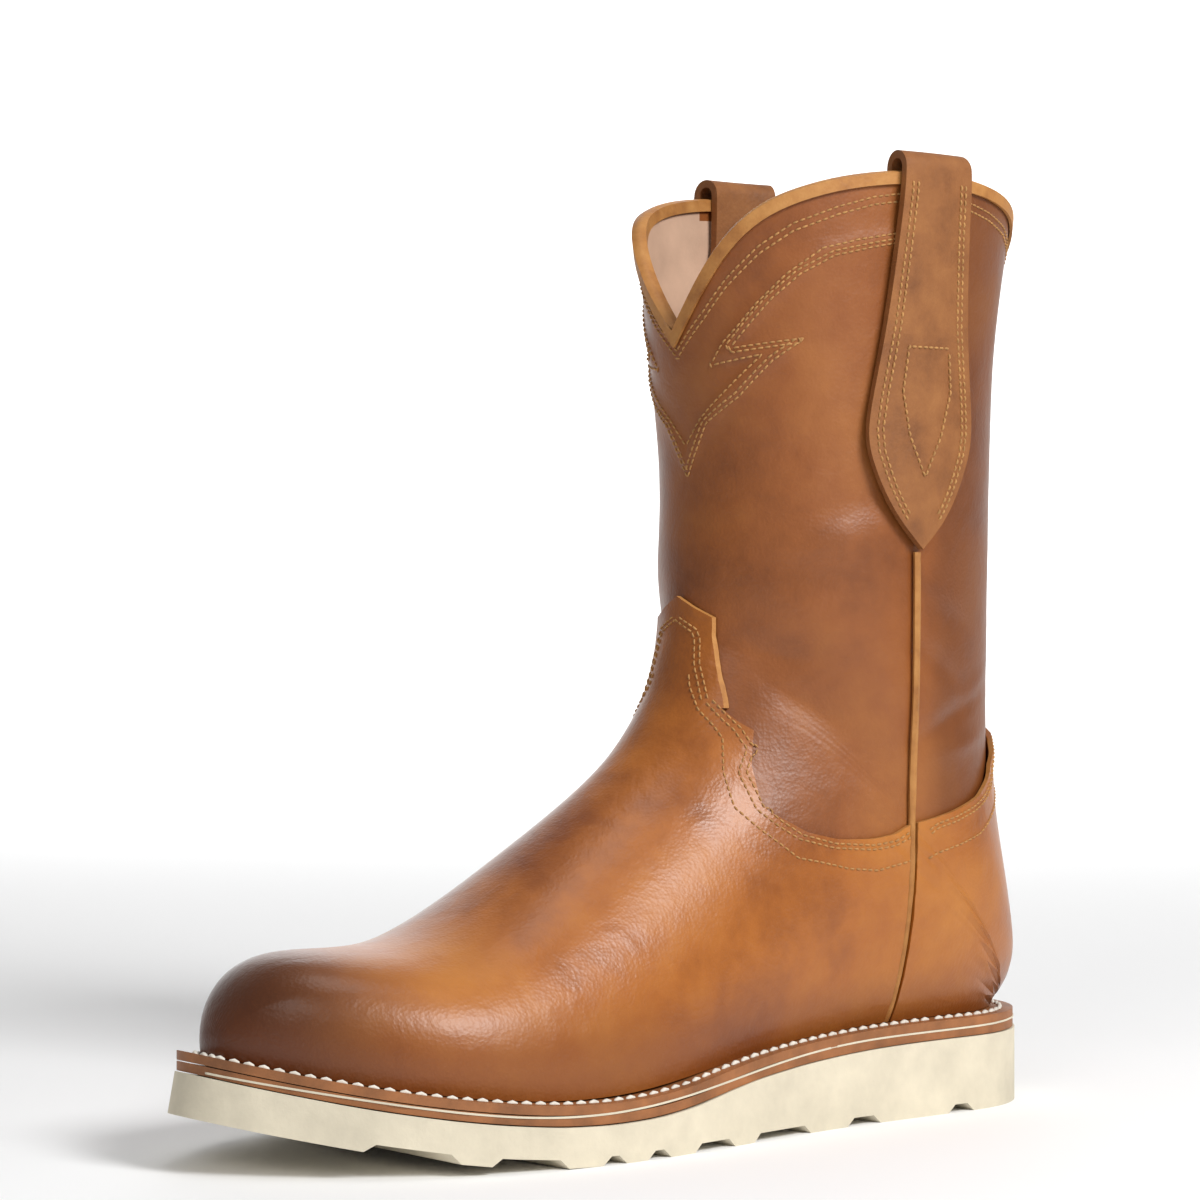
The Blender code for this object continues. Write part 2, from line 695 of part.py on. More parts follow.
def drop_inner_faces(work):
    """Remove the faces left inside a piece where two of its halves meet."""
    inner = [
        face for face in work.faces
        if sum(len(edge.link_faces) > 2 for edge in face.edges) > 1
    ]
    bmesh.ops.delete(work, geom=inner, context="FACES_ONLY")


def sole_stations(inset, extra=()):
    """Return the places along the sole where a plate is cut, closer at its round ends."""
    first, last = inset, OUTSOLE_LENGTH - inset
    turn = np.linspace(0, math.pi / 2, 8)
    heel = HEEL_ROUND - (HEEL_ROUND - first) * np.cos(turn)
    toe_middle = OUTSOLE_LENGTH - TOE_ROUND
    toe = toe_middle + (last - toe_middle) * np.sin(turn)
    waist = np.linspace(HEEL_ROUND, toe_middle, WAIST_STATIONS + 1)[1:-1]
    plain = [*heel, *waist, *toe]
    room = TREAD_SLOPE * 0.6
    kept = [s for s in plain if all(abs(s - other) > room for other in extra)]
    return np.array(sorted({*kept, *extra, first, last}))


def plate(name, finish, inset, low, high):
    """Make a solid plate that follows the sole's plan, between two height functions."""
    shell = Shell()
    stations = sole_stations(inset)
    outer, inner = plan_edge(stations, inset)
    skins = []
    for height in (high, low):
        edges = [np.stack([x, stations, height(stations)], -1) for x in (outer, inner)]
        skins.append(shell.grid(np.stack(edges, 1)))
    shell.box(*skins)
    return shell.finish(name, finish)


def tread_depth(s):
    """Return how far the tread is cut up from its plain underside at s."""
    depth = np.zeros_like(np.asarray(s, float))
    for start, end in TREAD_RECESSES:
        inside = np.minimum(s - start * OUTSOLE_LENGTH, end * OUTSOLE_LENGTH - s)
        depth = np.maximum(depth, TREAD_DEPTH * np.clip(inside / TREAD_SLOPE, 0, 1))
    return depth


def make_outsole():
    """Make the one-piece wedge outsole, with its tread recesses swept in shallow chevrons."""
    breaks = []
    for start, end in TREAD_RECESSES:
        first, last = start * OUTSOLE_LENGTH, end * OUTSOLE_LENGTH
        breaks += [first, first + TREAD_SLOPE, last - TREAD_SLOPE, last]
    stations = sole_stations(0.0, breaks)
    outer, inner = plan_edge(stations, 0.0)
    middle, half = (outer + inner) / 2, (outer - inner) / 2
    ends = np.clip(np.minimum(stations, OUTSOLE_LENGTH - stations) / TOE_ROUND, 0, 1)
    shell = Shell()
    top, under = [], []
    for share in (1.0, 0.5, 0.0, -0.5, -1.0):
        x = middle + share * half
        ahead = stations + TREAD_CHEVRON * ends * (1 - abs(share))
        top.append(np.stack([x, stations, outsole_top(stations)], -1))
        under.append(np.stack([x, ahead, floor_line(ahead) + tread_depth(stations)], -1))
    shell.box(shell.grid(np.stack(top, 1)), shell.grid(np.stack(under, 1)))
    return shell.finish("outsole", CREPE)


def ring_loop(inset):
    """Return a closed line of plan points (x, s) round the sole's edge drawn in by inset."""
    turn = np.linspace(0, math.pi / 2, 8)
    toe_middle = OUTSOLE_LENGTH - TOE_ROUND
    heel = HEEL_ROUND - (HEEL_ROUND - inset) * np.cos(turn)
    waist = np.linspace(HEEL_ROUND, toe_middle, WAIST_STATIONS + 1)[1:-1]
    toe = toe_middle + (TOE_ROUND - inset) * np.sin(turn)
    stations = np.concatenate([heel, waist, toe])
    outer, inner = plan_edge(stations, inset)
    there, back = np.stack([outer, stations], -1), np.stack([inner, stations], -1)
    return np.concatenate([there, back[::-1]])


def make_welt():
    """Make the flat leather welt, a ring all the way round the upper's lower edge."""
    shell = Shell()
    outside = ring_loop(MIDSOLE_SETBACK)
    inside = ring_loop(FEATHER_INSET + 1.5 * WALL)
    corners = []
    for line, height in (
        (outside, welt_bottom),
        (outside, welt_top),
        (inside, welt_top),
        (inside, welt_bottom),
        (outside, welt_bottom),
    ):
        corners.append(np.column_stack([line, height(line[:, 1])]))
    shell.skin(shell.grid(corners))
    return shell.finish("welt", WELT_LEATHER)


def lattice_rows():
    """Return the rows of the upper's mesh up to the shaft, as lines across all columns."""
    toe = (0, 0.6, 1.3, 2.0, 2.7, 3.4)
    foot = (4, 5, 6, 7, 8, 9, 10, 11, 12, 12.9, 13.7, 14.3, 14.75)
    heel = (HEEL_ROW, 15.5, 16.2, 17, 18, 19, 20, 21.2, 22.4)
    return [np.full(COLUMNS.shape, float(row)) for row in (*toe, *foot, *heel)]


def form_shell(name, finish, low, high):
    """Make a shell that covers the whole last between two distances from its surface."""
    shell = Shell()
    rows = lattice_rows()
    collar, under_binding = collar_row(COLUMNS), collar_row(COLUMNS, -BINDING_DROP)
    rows += [rows[-1] + (under_binding - rows[-1]) * share for share in (0.25, 0.5, 0.75, 1.0)]
    rows.append(collar)
    skins = [shell.grid([upper_point(row, COLUMNS, out) for row in rows]) for out in (high, low)]
    for skin in skins:
        shell.skin(skin)
    shell.skin([skins[0][-1], skins[1][-1]])
    closed_from = len([row for row in rows if row[0] < HEEL_ROW]) + 1
    for edge in (0, -1):
        shell.skin([[line[edge] for line in skin[:closed_from]] for skin in skins])
    return shell.finish(name, finish)


def pattern(name, corners):
    """Make a cutting block from pairs of shape points, the two ends of each of its edges."""
    shell = Shell()
    ends = shell.grid(zip(*corners))
    shell.skin([[*end, end[0]] for end in ends])
    shell.faces += [tuple(ends[0]), tuple(ends[1])]
    block = shell.finish(name, LEATHER)
    block.hide_render = True
    block.display_type = "WIRE"
    return block


def side_block(name, outline):
    """Make a cutting block with its outline in the side view, given as (s, z)."""
    return pattern(name, [((-BALL_WIDTH, s, z), (BALL_WIDTH, s, z)) for s, z in outline])


def cut_with(piece, block, operation):
    """Add a live Boolean of a cutting block to a piece."""
    cut = piece.modifiers.new(block.name, "BOOLEAN")
    cut.operation = operation
    cut.object = block
    return piece


def side_edge(table):
    """Return an edge table's points as (s, z) in metres."""
    return [(row[0] * OUTSOLE_LENGTH, row[1] * INSTEP_HEIGHT) for row in table]


def make_vamp():
    """Make the vamp with its tongue, cut from a shell laid over the upper."""
    place = SEAM_PLACE + PIPING_WIDTH / 2 + CLEARANCE
    ahead = OUTSOLE_LENGTH + WELT_MARGIN
    edge = [(place, level) if s < place else (s, level) for s, level in side_edge(VAMP_EDGE)]
    edge[0] = (place, edge[0][1])
    outline = [(place, 0.0), *edge, (ahead, edge[-1][1]), (ahead, 0.0)]
    block = side_block("vamp_pattern", outline)
    tongue = [(row[0] * BALL_WIDTH, row[1] * INSTEP_HEIGHT) for row in TONGUE_EDGE]
    back, front = 0.36 * OUTSOLE_LENGTH, ahead
    front_view = tongue + [(-x, z) for x, z in tongue[-2::-1]]
    tongue_block = pattern(
        "tongue_pattern", [((x, back, z), (x, front, z)) for x, z in front_view]
    )
    cut_with(block, tongue_block, "UNION")
    vamp = form_shell("vamp", LEATHER, OVERLAY_GAP, OVERLAY_GAP + OVERLAY)
    return cut_with(vamp, block, "INTERSECT")


def make_counter():
    """Make the counter, cut from a shell laid over the upper's heel."""
    place = SEAM_PLACE - PIPING_WIDTH / 2 - CLEARANCE
    edge = side_edge(COUNTER_EDGE)
    edge[0] = (place, edge[0][1])
    behind = -WELT_MARGIN
    outline = [(place, 0.0), *edge, (behind, edge[-1][1]), (behind, 0.0)]
    counter = form_shell("counter", LEATHER, OVERLAY_GAP, OVERLAY_GAP + OVERLAY)
    return cut_with(counter, side_block("counter_pattern", outline), "INTERSECT")


def make_binding():
    """Make the rolled binding that wraps the collar's edge, both legs and the top."""
    shell = Shell()
    inside, outside = CLEARANCE, CLEARANCE + BINDING_THICKNESS
    section = (
        # out from the upper's outer surface, beyond the collar's edge
        (outside, -BINDING_DROP),
        (outside, inside),
        (-WALL / 2, outside),
        (-WALL - outside, inside),
        (-WALL - outside, -BINDING_DROP),
        (-WALL - inside, -BINDING_DROP),
        (-WALL - inside, inside),
        (inside, inside),
        (inside, -BINDING_DROP),
        (outside, -BINDING_DROP),
    )
    lines = [upper_point(collar_row(COLUMNS, beyond), COLUMNS, out) for out, beyond in section]
    shell.skin(shell.grid(lines))
    return shell.finish("collar_binding", LEATHER_EDGE)


def make_piping(side, name):
    """Make the piping that stands between vamp and counter and runs up to the strap's end."""
    shell = Shell()
    top = STRAP_TOP - STRAP_OUTER_LENGTH - 3 * CLEARANCE
    bottom = float(feather_height(SEAM_PLACE))
    heights = bottom + (top - bottom) * np.linspace(0, 1, 17) ** 1.4
    half = PIPING_WIDTH / 2
    section = ((-half, OVERLAY_GAP), (-half, 0.65 * PIPING_HEIGHT), (0, PIPING_HEIGHT))
    section += tuple((-across, out) for across, out in section[1::-1]) + section[:1]
    lines = []
    for across, out in section:
        row, t = locate(SEAM_PLACE + across, heights, side)
        row[0] = row_at_place(side, SEAM_PLACE + across)
        t[0] = side
        lines.append(upper_point(row, t, out))
    shell.skin(shell.grid(lines))
    caps = [[len(heights) * i + end for i in range(len(section) - 1)] for end in (0, -1)]
    shell.faces += [cap if end == 0 else [i + len(heights) for i in cap] for end, cap in
                    enumerate(caps)]
    return shell.finish(name, LEATHER_EDGE)


def make_strap(side, name):
    """Make one pull strap: a shaped outer leg, a loop over the collar and a straight inner leg."""
    shell = Shell()
    across = np.linspace(-1, 1, 5)
    outer_drop = column(STRAP_OUTLINE, 0)[::-1] * STRAP_OUTER_LENGTH
    outer = [z for z in STRAP_TOP - outer_drop if z < SPRING_LINE - STRAP_MIDDLE]
    outer = np.array([*outer, SPRING_LINE])
    inner = np.linspace(SPRING_LINE, STRAP_TOP - STRAP_INNER_LENGTH, 6)
    ease = np.clip((outer - SPRING_LINE + 0.030) / 0.022, 0, 1)
    stand = STRAP_STANDOFF + (OUTER_STANDOFF - STRAP_STANDOFF) * ease
    inner_ease = np.clip((inner - SPRING_LINE + 0.030) / 0.022, 0, 1)
    inner_stand = STRAP_STANDOFF + (OUTER_STANDOFF - STRAP_STANDOFF) * inner_ease
    far, near = [], []
    for keep, shift in ((far, STRAP_MIDDLE), (near, -STRAP_MIDDLE)):
        keep.extend(strap_leg(side, outer, across, stand + STRAP_MIDDLE + shift, False))
    out_mid = (far[-1] + near[-1]) / 2
    legs = []
    for shift in (STRAP_MIDDLE, -STRAP_MIDDLE):
        out = -(WALL + inner_stand + STRAP_MIDDLE + shift)
        legs.append(list(strap_leg(side, inner, across, out, True)))
    in_mid = (legs[0][0] + legs[1][0]) / 2
    centre, reach = (out_mid + in_mid) / 2, (out_mid - in_mid) / 2
    size = np.linalg.norm(reach, axis=-1, keepdims=True)
    for turn in np.linspace(0, math.pi, 9)[1:-1]:
        spoke = reach / size * math.cos(turn) + np.array([0.0, 0.0, 1.0]) * math.sin(turn)
        far.append(centre + spoke * (size + STRAP_MIDDLE))
        near.append(centre + spoke * (size - STRAP_MIDDLE))
    far.extend(legs[0])
    near.extend(legs[1])
    shell.box(shell.grid(far), shell.grid(near))
    return shell.finish(name, LEATHER)


def main():
    """Build every piece of the boot."""
    for piece in list(bpy.data.objects):
        bpy.data.objects.remove(piece)
    make_outsole()
    plate(
        "midsole",
        WELT_LEATHER,
        MIDSOLE_SETBACK,
        midsole_bottom,
        lambda s: midsole_bottom(s) + MIDSOLE_THICKNESS,
    )
    make_welt()
    plate(
        "insole",
        FOOTBED,
        FEATHER_INSET + 1.5 * WALL + CLEARANCE,
        welt_bottom,
        lambda s: welt_bottom(s) + INSOLE_THICKNESS,
    )
    form_shell("upper", LEATHER, -WALL, 0.0)
    make_vamp()
    make_counter()
    make_binding()
    make_piping(1, "side_piping_outer")
    make_piping(-1, "side_piping_inner")
    make_strap(1, "pull_strap_outer")
    make_strap(-1, "pull_strap_inner")


main()
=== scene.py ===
"""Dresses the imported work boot: leather finishes, stitching, lining, studio floor and camera.

The CAD pieces are copied, smoothed and given procedural finishes, and the stitches are laid on
their surfaces. Places on the upper are given as (turn, height): turn is in degrees round the
shaft's middle from the front of the boot, and height is in millimetres above the floor.
"""

import logging
import math
from dataclasses import dataclass
from enum import Enum

import bmesh
import bpy
import numpy as np
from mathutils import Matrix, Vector
from mathutils.bvhtree import BVHTree


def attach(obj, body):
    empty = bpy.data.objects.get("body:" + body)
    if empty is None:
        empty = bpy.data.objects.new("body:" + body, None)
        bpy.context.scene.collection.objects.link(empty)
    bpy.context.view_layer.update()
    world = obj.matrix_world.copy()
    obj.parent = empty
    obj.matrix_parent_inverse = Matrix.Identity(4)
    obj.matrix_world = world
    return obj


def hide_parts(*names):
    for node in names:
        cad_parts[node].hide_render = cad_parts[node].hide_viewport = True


LOG = logging.getLogger("boot")
MM = 0.001


class Side(Enum):
    """The two sides of the boot: outer is towards +X."""

    OUTER = 1
    INNER = -1


@dataclass(frozen=True)
class BootPlace:
    """The sizes that place the dressing on the frame, in metres."""

    length: float = 0.312
    shaft_centre: float = 0.0705
    middle_x: float = 0.00195
    collar_height: float = 0.2998
    front_dip: float = 0.0494
    back_dip: float = 0.0300

    def centre(self, height: float) -> Vector:
        """Return the shaft's middle at a height.

        Args:
            height: height above the floor in metres.

        Returns:
            The point in the row frame.
        """
        return Vector((-self.middle_x, self.length / 2 - self.shaft_centre, height))

    def collar(self, turn: float) -> float:
        """Return the height of the scalloped collar.

        Args:
            turn: degrees round from the front, of either sign.

        Returns:
            The height in metres.
        """
        turns = (0, 6, 12, 20, 30, 40, 54, 67, 78, 90)
        shares = (0.0, 0.12, 0.24, 0.434, 0.636, 0.778, 0.889, 0.96, 0.99, 1.0)
        turn = abs(turn)
        dip = self.back_dip if turn > 90 else self.front_dip
        turn = 180 - turn if turn > 90 else turn
        return self.collar_height - dip * (1 - float(np.interp(turn, turns, shares)))


PLACE = BootPlace()


# Finishes
@dataclass(frozen=True)
class Leather:
    """A leather finish: colours, gloss, grain, how the colour wanders, and a painted shade along the
    lower edge.
    """

    name: str
    base: tuple[float, float, float]
    dark: tuple[float, float, float]
    light: tuple[float, float, float]
    roughness: float = 0.42
    coat: float = 0.12
    patch_scale: float = 24.0
    grain_scale: float = 900.0
    grain: float = 0.16
    # toe_burnish darkens the toe itself; when it is set, the lower edge also gets a painted shade.
    toe_burnish: float = 0.0
    back_shade: float = 0.0
    crease: float = 0.10

    def build(self) -> bpy.types.Material:
        """Build the node material.

        Returns:
            The new material.
        """
        material, nodes, links, shader = new_material(self.name)
        coordinate = nodes.new("ShaderNodeTexCoord")
        patches = noise(nodes, links, coordinate, self.patch_scale, 5.0, 0.62)
        flecks = noise(nodes, links, coordinate, 210.0, 4.0, 0.7)
        ramp = nodes.new("ShaderNodeValToRGB")
        ramp.color_ramp.elements[0].position = 0.28
        ramp.color_ramp.elements[0].color = (*self.dark, 1)
        ramp.color_ramp.elements[1].position = 0.74
        ramp.color_ramp.elements[1].color = (*self.light, 1)
        middle = ramp.color_ramp.elements.new(0.5)
        middle.color = (*self.base, 1)
        links.new(patches.outputs["Fac"], ramp.inputs["Fac"])
        colour = blend(nodes, links, flecks.outputs["Fac"], ramp.outputs["Color"], self.dark, 0.22)
        split = nodes.new("ShaderNodeSeparateXYZ")
        links.new(coordinate.outputs["Object"], split.inputs["Vector"])
        if self.toe_burnish:
            toe = span(nodes, links, split.outputs["Y"], -0.088, -0.138, self.toe_burnish)
            colour = blend(nodes, links, toe, colour, tuple(v * 0.35 for v in self.dark), 1.0)
            # Painted shade: the leather darkens towards its lower edge by the welt, where the upper
            # tucks in and shade falls.
            lower_edge_shade = span(nodes, links, split.outputs["Z"], 0.052, 0.030, 0.55)
            colour = blend(nodes, links, lower_edge_shade, colour, self.dark, 1.0)
        if self.back_shade:
            back = span(nodes, links, split.outputs["Y"], 0.084, 0.100, self.back_shade)
            colour = blend(nodes, links, back, colour, tuple(v * 0.7 for v in self.dark), 1.0)
        links.new(colour, shader.inputs["Base Color"])
        gloss = span(nodes, links, patches.outputs["Fac"], 0.3, 0.7, 0.14, self.roughness - 0.07)
        links.new(gloss, shader.inputs["Roughness"])
        shader.inputs["Coat Weight"].default_value = self.coat
        shader.inputs["Coat Roughness"].default_value = 0.38
        shader.inputs["Specular IOR Level"].default_value = 0.42
        self._relief(nodes, links, coordinate, shader)
        return material

    def _relief(self, nodes, links, coordinate, shader) -> None:
        """Add the pebbled grain and the softer creases to the shader's normal."""
        cells = nodes.new("ShaderNodeTexVoronoi")
        cells.inputs["Scale"].default_value = self.grain_scale
        links.new(coordinate.outputs["Object"], cells.inputs["Vector"])
        creases = noise(nodes, links, coordinate, 62.0, 4.0, 0.55, 1.4)
        coarse = nodes.new("ShaderNodeBump")
        coarse.inputs["Strength"].default_value = self.crease
        coarse.inputs["Distance"].default_value = 0.004
        links.new(creases.outputs["Fac"], coarse.inputs["Height"])
        fine = nodes.new("ShaderNodeBump")
        fine.inputs["Strength"].default_value = self.grain
        fine.inputs["Distance"].default_value = 0.0004
        links.new(cells.outputs["Distance"], fine.inputs["Height"])
        links.new(coarse.outputs["Normal"], fine.inputs["Normal"])
        links.new(fine.outputs["Normal"], shader.inputs["Normal"])


@dataclass(frozen=True)
class Plain:
    """A matt finish with faint mottling and a fine surface, for rubber, thread and edges."""

    name: str
    colour: tuple[float, float, float]
    spread: float = 0.12
    roughness: float = 0.78
    scale: float = 70.0
    bump_scale: float = 700.0
    bump: float = 0.10
    layers: float = 0.0

    def build(self) -> bpy.types.Material:
        """Build the node material.

        Returns:
            The new material.
        """
        material, nodes, links, shader = new_material(self.name)
        coordinate = nodes.new("ShaderNodeTexCoord")
        mottle = noise(nodes, links, coordinate, self.scale, 5.0, 0.6)
        low = tuple(v * (1 - self.spread * 2) for v in self.colour)
        high = tuple(min(v * (1 + self.spread), 1.0) for v in self.colour)
        ramp = nodes.new("ShaderNodeValToRGB")
        ramp.color_ramp.elements[0].position = 0.3
        ramp.color_ramp.elements[0].color = (*low, 1)
        ramp.color_ramp.elements[1].position = 0.7
        ramp.color_ramp.elements[1].color = (*high, 1)
        links.new(mottle.outputs["Fac"], ramp.inputs["Fac"])
        links.new(ramp.outputs["Color"], shader.inputs["Base Color"])
        shader.inputs["Roughness"].default_value = self.roughness
        pits = noise(nodes, links, coordinate, self.bump_scale, 3.0, 0.6)
        bump = nodes.new("ShaderNodeBump")
        bump.inputs["Strength"].default_value = self.bump
        bump.inputs["Distance"].default_value = 0.0006
        links.new(pits.outputs["Fac"], bump.inputs["Height"])
        links.new(bump.outputs["Normal"], shader.inputs["Normal"])
        return material


def new_material(name: str):
    """Start a node material.

    Args:
        name: the material's name.

    Returns:
        The material, its nodes, its links and its Principled shader.
    """
    material = bpy.data.materials.new(name)
    material.use_nodes = True
    tree = material.node_tree
    return material, tree.nodes, tree.links, tree.nodes["Principled BSDF"]


def noise(nodes, links, coordinate, scale, detail, roughness, distortion=0.0):
    """Return a noise node on the object's own coordinates."""
    node = nodes.new("ShaderNodeTexNoise")
    node.inputs["Scale"].default_value = scale
    node.inputs["Detail"].default_value = detail
    node.inputs["Roughness"].default_value = roughness
    node.inputs["Distortion"].default_value = distortion
    links.new(coordinate.outputs["Object"], node.inputs["Vector"])
    return node


def span(nodes, links, value, start, end, amount, base=0.0):
    """Return a smooth step of a value from base at start to base + amount at end."""
    node = nodes.new("ShaderNodeMapRange")
    node.interpolation_type = "SMOOTHSTEP"
    for key, number in (
        ("From Min", start),
        ("From Max", end),
        ("To Min", base),
        ("To Max", base + amount),
    ):
        node.inputs[key].default_value = number
    links.new(value, node.inputs["Value"])
    return node.outputs["Result"]


def blend(nodes, links, factor, colour, other, strength):
    """Return the colour mixed towards another by factor times strength."""
    scale = nodes.new("ShaderNodeMath")
    scale.operation = "MULTIPLY"
    scale.inputs[1].default_value = strength
    links.new(factor, scale.inputs[0])
    node = nodes.new("ShaderNodeMix")
    node.data_type = "RGBA"
    links.new(scale.outputs[0], node.inputs["Factor"])
    links.new(colour, node.inputs["A"])
    node.inputs["B"].default_value = (*other, 1)
    return node.outputs["Result"]


SHAFT_LEATHER = Leather(
    "shaft_leather",
    (0.270, 0.080, 0.015),
    (0.135, 0.036, 0.008),
    (0.370, 0.128, 0.024),
    patch_scale=15.0,
    back_shade=0.5,
)
VAMP_LEATHER = Leather(
    "vamp_leather",
    (0.385, 0.118, 0.014),
    (0.160, 0.038, 0.007),
    (0.520, 0.190, 0.024),
    roughness=0.36,
    coat=0.2,
    toe_burnish=0.92,
    patch_scale=15.0,
)
STRAP_LEATHER = Leather(
    "strap_leather",
    (0.265, 0.098, 0.026),
    (0.170, 0.058, 0.015),
    (0.345, 0.140, 0.040),
    roughness=0.66,
    coat=0.0,
    patch_scale=60,
    grain=0.25,
)
EDGE_LEATHER = Leather(
    "edge_leather",
    (0.430, 0.185, 0.045),
    (0.300, 0.112, 0.026),
    (0.520, 0.250, 0.070),
    roughness=0.55,
    coat=0.0,
    patch_scale=120,
)
WELT_LEATHER = Plain("welt_leather", (0.330, 0.125, 0.040), 0.2, 0.58)
LINING = Plain("lining", (0.600, 0.390, 0.270), 0.08, 0.85, 40.0, 1100.0, 0.12)
FOOTBED = Plain("footbed", (0.480, 0.300, 0.170), 0.12, 0.80)
CREAM = Plain("cream_rubber", (0.700, 0.630, 0.485), 0.07, 0.80, 55.0, 520.0, 0.22)
THREAD = Plain("tan_thread", (0.450, 0.225, 0.070), 0.15, 0.75, 400.0)
WELT_THREAD = Plain("white_thread", (0.800, 0.760, 0.670), 0.08, 0.75, 400.0)


@dataclass(frozen=True)
class Fold:
    """A soft trough or ridge in the shaft's leather, long one way and narrow the other."""

    turn: float
    height: float
    long: float
    wide: float
    slant: float
    depth: float

    def push(self, turn: float, height: float) -> float:
        """Return how far out the fold moves the leather at a place, in metres.

        Args:
            turn: degrees round from the front.
            height: height above the floor in metres.

        Returns:
            The distance outward, negative in a trough.
        """
        across = (turn - self.turn) * 0.8
        up = height / MM - self.height
        angle = math.radians(self.slant)
        along = across * math.cos(angle) + up * math.sin(angle)
        square = up * math.cos(angle) - across * math.sin(angle)
        reach = (along / self.long) ** 2 + (square / self.wide) ** 2
        return self.depth * MM * math.exp(-reach) if reach < 9 else 0.0


@dataclass(frozen=True)
class Padding:
    """The raised band between the two lines of the shaft's bolt stitching."""

    line: tuple[tuple[float, float], ...]
    wide: float = 2.2
    rise: float = 0.7

    def push(self, turn: float, height: float) -> float:
        """Return how far out the band moves the leather at a place, in metres.

        Args:
            turn: degrees round from the front, of either sign.
            height: height above the floor in metres.

        Returns:
            The distance outward.
        """
        if height < 0.195 or height > 0.292:
            return 0.0
        place = np.array([abs(turn) * 0.8, height / MM])
        corners = np.array(self.line) * (0.8, 1.0)
        start, run = corners[:-1], np.diff(corners, axis=0)
        share = np.clip(((place - start) * run).sum(1) / (run * run).sum(1), 0, 1)
        gap = np.linalg.norm(start + run * share[:, None] - place, axis=1).min()
        return self.rise * MM * math.exp(-((gap / self.wide) ** 2))


SHAFT_FOLDS = (
    Fold(112, 128, 17, 3.2, 24, -1.5),
    Fold(122, 119, 15, 3.0, 12, 0.9),
    Fold(108, 142, 13, 3.6, -30, -1.0),
    Fold(128, 136, 11, 3.0, 30, 0.8),
    Fold(116, 158, 15, 4.2, -18, -0.8),
    Fold(62, 196, 15, 6.5, 16, -0.8),
    Fold(58, 184, 14, 6.0, 10, 0.5),
    Fold(44, 172, 13, 6.0, -24, -0.6),
    Fold(34, 148, 12, 4.5, -12, -0.8),
    Fold(46, 130, 12, 4.0, -30, -0.6),
    Fold(-60, 190, 15, 6.5, 14, -0.8),
    Fold(-112, 130, 16, 3.4, 20, -1.3),
    Fold(-48, 142, 13, 5.0, 20, -0.7),
    Fold(180, 140, 14, 4.0, 0, -0.7),
)


# Surfaces
class Skin:
    """The surface of some CAD nodes, which can be asked for a point and its normal."""

    def __init__(self, *objects: bpy.types.Object) -> None:
        vertices, faces = [], []
        for piece in objects:
            start = len(vertices)
            vertices += [v.co.copy() for v in piece.data.vertices]
            faces += [tuple(i + start for i in p.vertices) for p in piece.data.polygons]
        self.tree = BVHTree.FromPolygons(vertices, faces)

    def cast(self, start: Vector, direction: Vector) -> tuple[Vector, Vector] | None:
        """Return the first point hit and the normal there that faces the ray's start."""
        hit, normal, _, _ = self.tree.ray_cast(start, direction)
        if hit is None:
            return None
        return hit, normal if normal.dot(direction) < 0 else -normal

    def turned(self, turn: float, height: float) -> tuple[Vector, Vector] | None:
        """Return the outermost point at a turn from the front, in degrees, and a height."""
        angle = math.radians(turn)
        outward = Vector((math.sin(angle), -math.cos(angle), 0))
        return self.cast(PLACE.centre(height) + outward * 0.4, -outward)

    def beside(self, side: Side, place: float, height: float) -> tuple[Vector, Vector] | None:
        """Return the point straight in from one side, at place in front of the heel."""
        start = Vector((0.3 * side.value, PLACE.length / 2 - place, height))
        return self.cast(start, Vector((-side.value, 0, 0)))


def evenly(points: list[tuple[float, ...]], step: float) -> np.ndarray:
    """Return points at even steps along a line, in the line's own units.

    Args:
        points: the line's corners.
        step: the distance between the points that are returned.

    Returns:
        An array with one row for each point.
    """
    line = np.array(points, float)
    gaps = np.linalg.norm(np.diff(line, axis=0), axis=1)
    along = np.concatenate([[0], np.cumsum(gaps)])
    count = max(int(along[-1] / step), 2)
    at = np.linspace(0, along[-1], count + 1)
    return np.stack([np.interp(at, along, line[:, i]) for i in range(line.shape[1])], -1)


def beside_row(row: list[tuple[float, float]], distance: float) -> list[tuple[float, ...]]:
    """Return a row moved sideways, downward where it runs back round the boot.

    Args:
        row: the row's corners, as turn and height.
        distance: how far to move it, in millimetres.

    Returns:
        The corners of the moved row.
    """
    line = evenly(row, 1.5)
    run = np.gradient(line * (0.8, 1.0), axis=0)
    run /= np.maximum(np.linalg.norm(run, axis=1, keepdims=True), 1e-9)
    aside = np.stack([run[:, 1], -run[:, 0]], -1) * distance
    return [tuple(point) for point in line + aside / (0.8, 1.0)]


